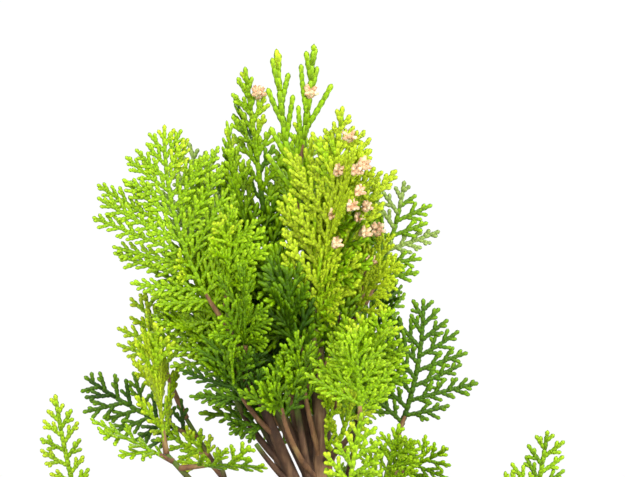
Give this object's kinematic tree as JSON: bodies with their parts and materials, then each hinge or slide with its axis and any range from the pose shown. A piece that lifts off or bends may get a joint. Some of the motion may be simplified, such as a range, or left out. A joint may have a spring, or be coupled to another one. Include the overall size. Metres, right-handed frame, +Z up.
{
  "type": "potted thuja bonsai",
  "caption": "Small evergreen thuja bonsai: a leaning tapered trunk with upright boughs and flat scale-leaf fans, standing in a plain oblong clay pot of soil.",
  "frame": {"origin": "the middle of the pot's flat underside", "axes": "+Z up along the plant, +X along the pot's long side to the right of the viewer, +Y away from the viewer"},
  "size_m": [0.1378, 0.1351, 0.2849],
  "materials": {
    "clay": "unglazed dark brown fired clay",
    "earth": "rough granular soil",
    "bark": "rough reddish brown bark",
    "leaf": "fresh green scale leaves, slightly waxy"
  },
  "bodies": {
    "root": {"pot": "clay", "soil": "earth", "trunk": "bark", "left_leader": "bark", "rear_leader": "bark", "bough_left_low": "bark", "bough_far_left": "bark", "bough_left_rear": "bark", "bough_right_low": "bark", "bough_far_right": "bark", "bough_right_rear": "bark", "bough_front_right": "bark", "bough_front_low": "bark", "bough_front_left": "bark", "bough_front_right_low": "bark", "bough_back_low": "bark", "bough_back_left": "bark", "bough_back_right": "bark", "bough_back_mid": "bark", "bough_back_left_low": "bark", "bough_back_right_low": "bark", "fan_apex_right": "leaf", "fan_apex_left": "leaf", "fan_crest": "leaf", "fan_rear_right": "leaf", "fan_crown_left": "leaf", "fan_crown_left_edge": "leaf", "fan_crown_rear_left": "leaf", "fan_crown_rear": "leaf", "fan_crown_back_right": "leaf", "fan_heart": "leaf", "fan_left": "leaf", "fan_left_front": "leaf", "fan_left_edge": "leaf", "fan_front_right": "leaf", "fan_right": "leaf", "fan_right_mid": "leaf", "fan_front_centre": "leaf", "fan_left_centre": "leaf", "fan_heart_rear": "leaf", "fan_back_left": "leaf", "fan_back_right": "leaf", "fan_back_mid": "leaf", "fan_left_low": "leaf", "fan_left_rear": "leaf", "fan_left_low_outer": "leaf", "fan_left_low_inner": "leaf", "fan_far_left": "leaf", "fan_far_right": "leaf", "fan_right_low": "leaf", "fan_right_front": "leaf", "fan_front_low": "leaf", "fan_front_left": "leaf", "fan_front_right_low": "leaf", "fan_back_low": "leaf", "fan_back_left_low": "leaf", "fan_back_right_low": "leaf", "fan_low_left": "leaf", "fan_low_right": "leaf", "fan_low_back": "leaf"}
  },
  "joints": []
}
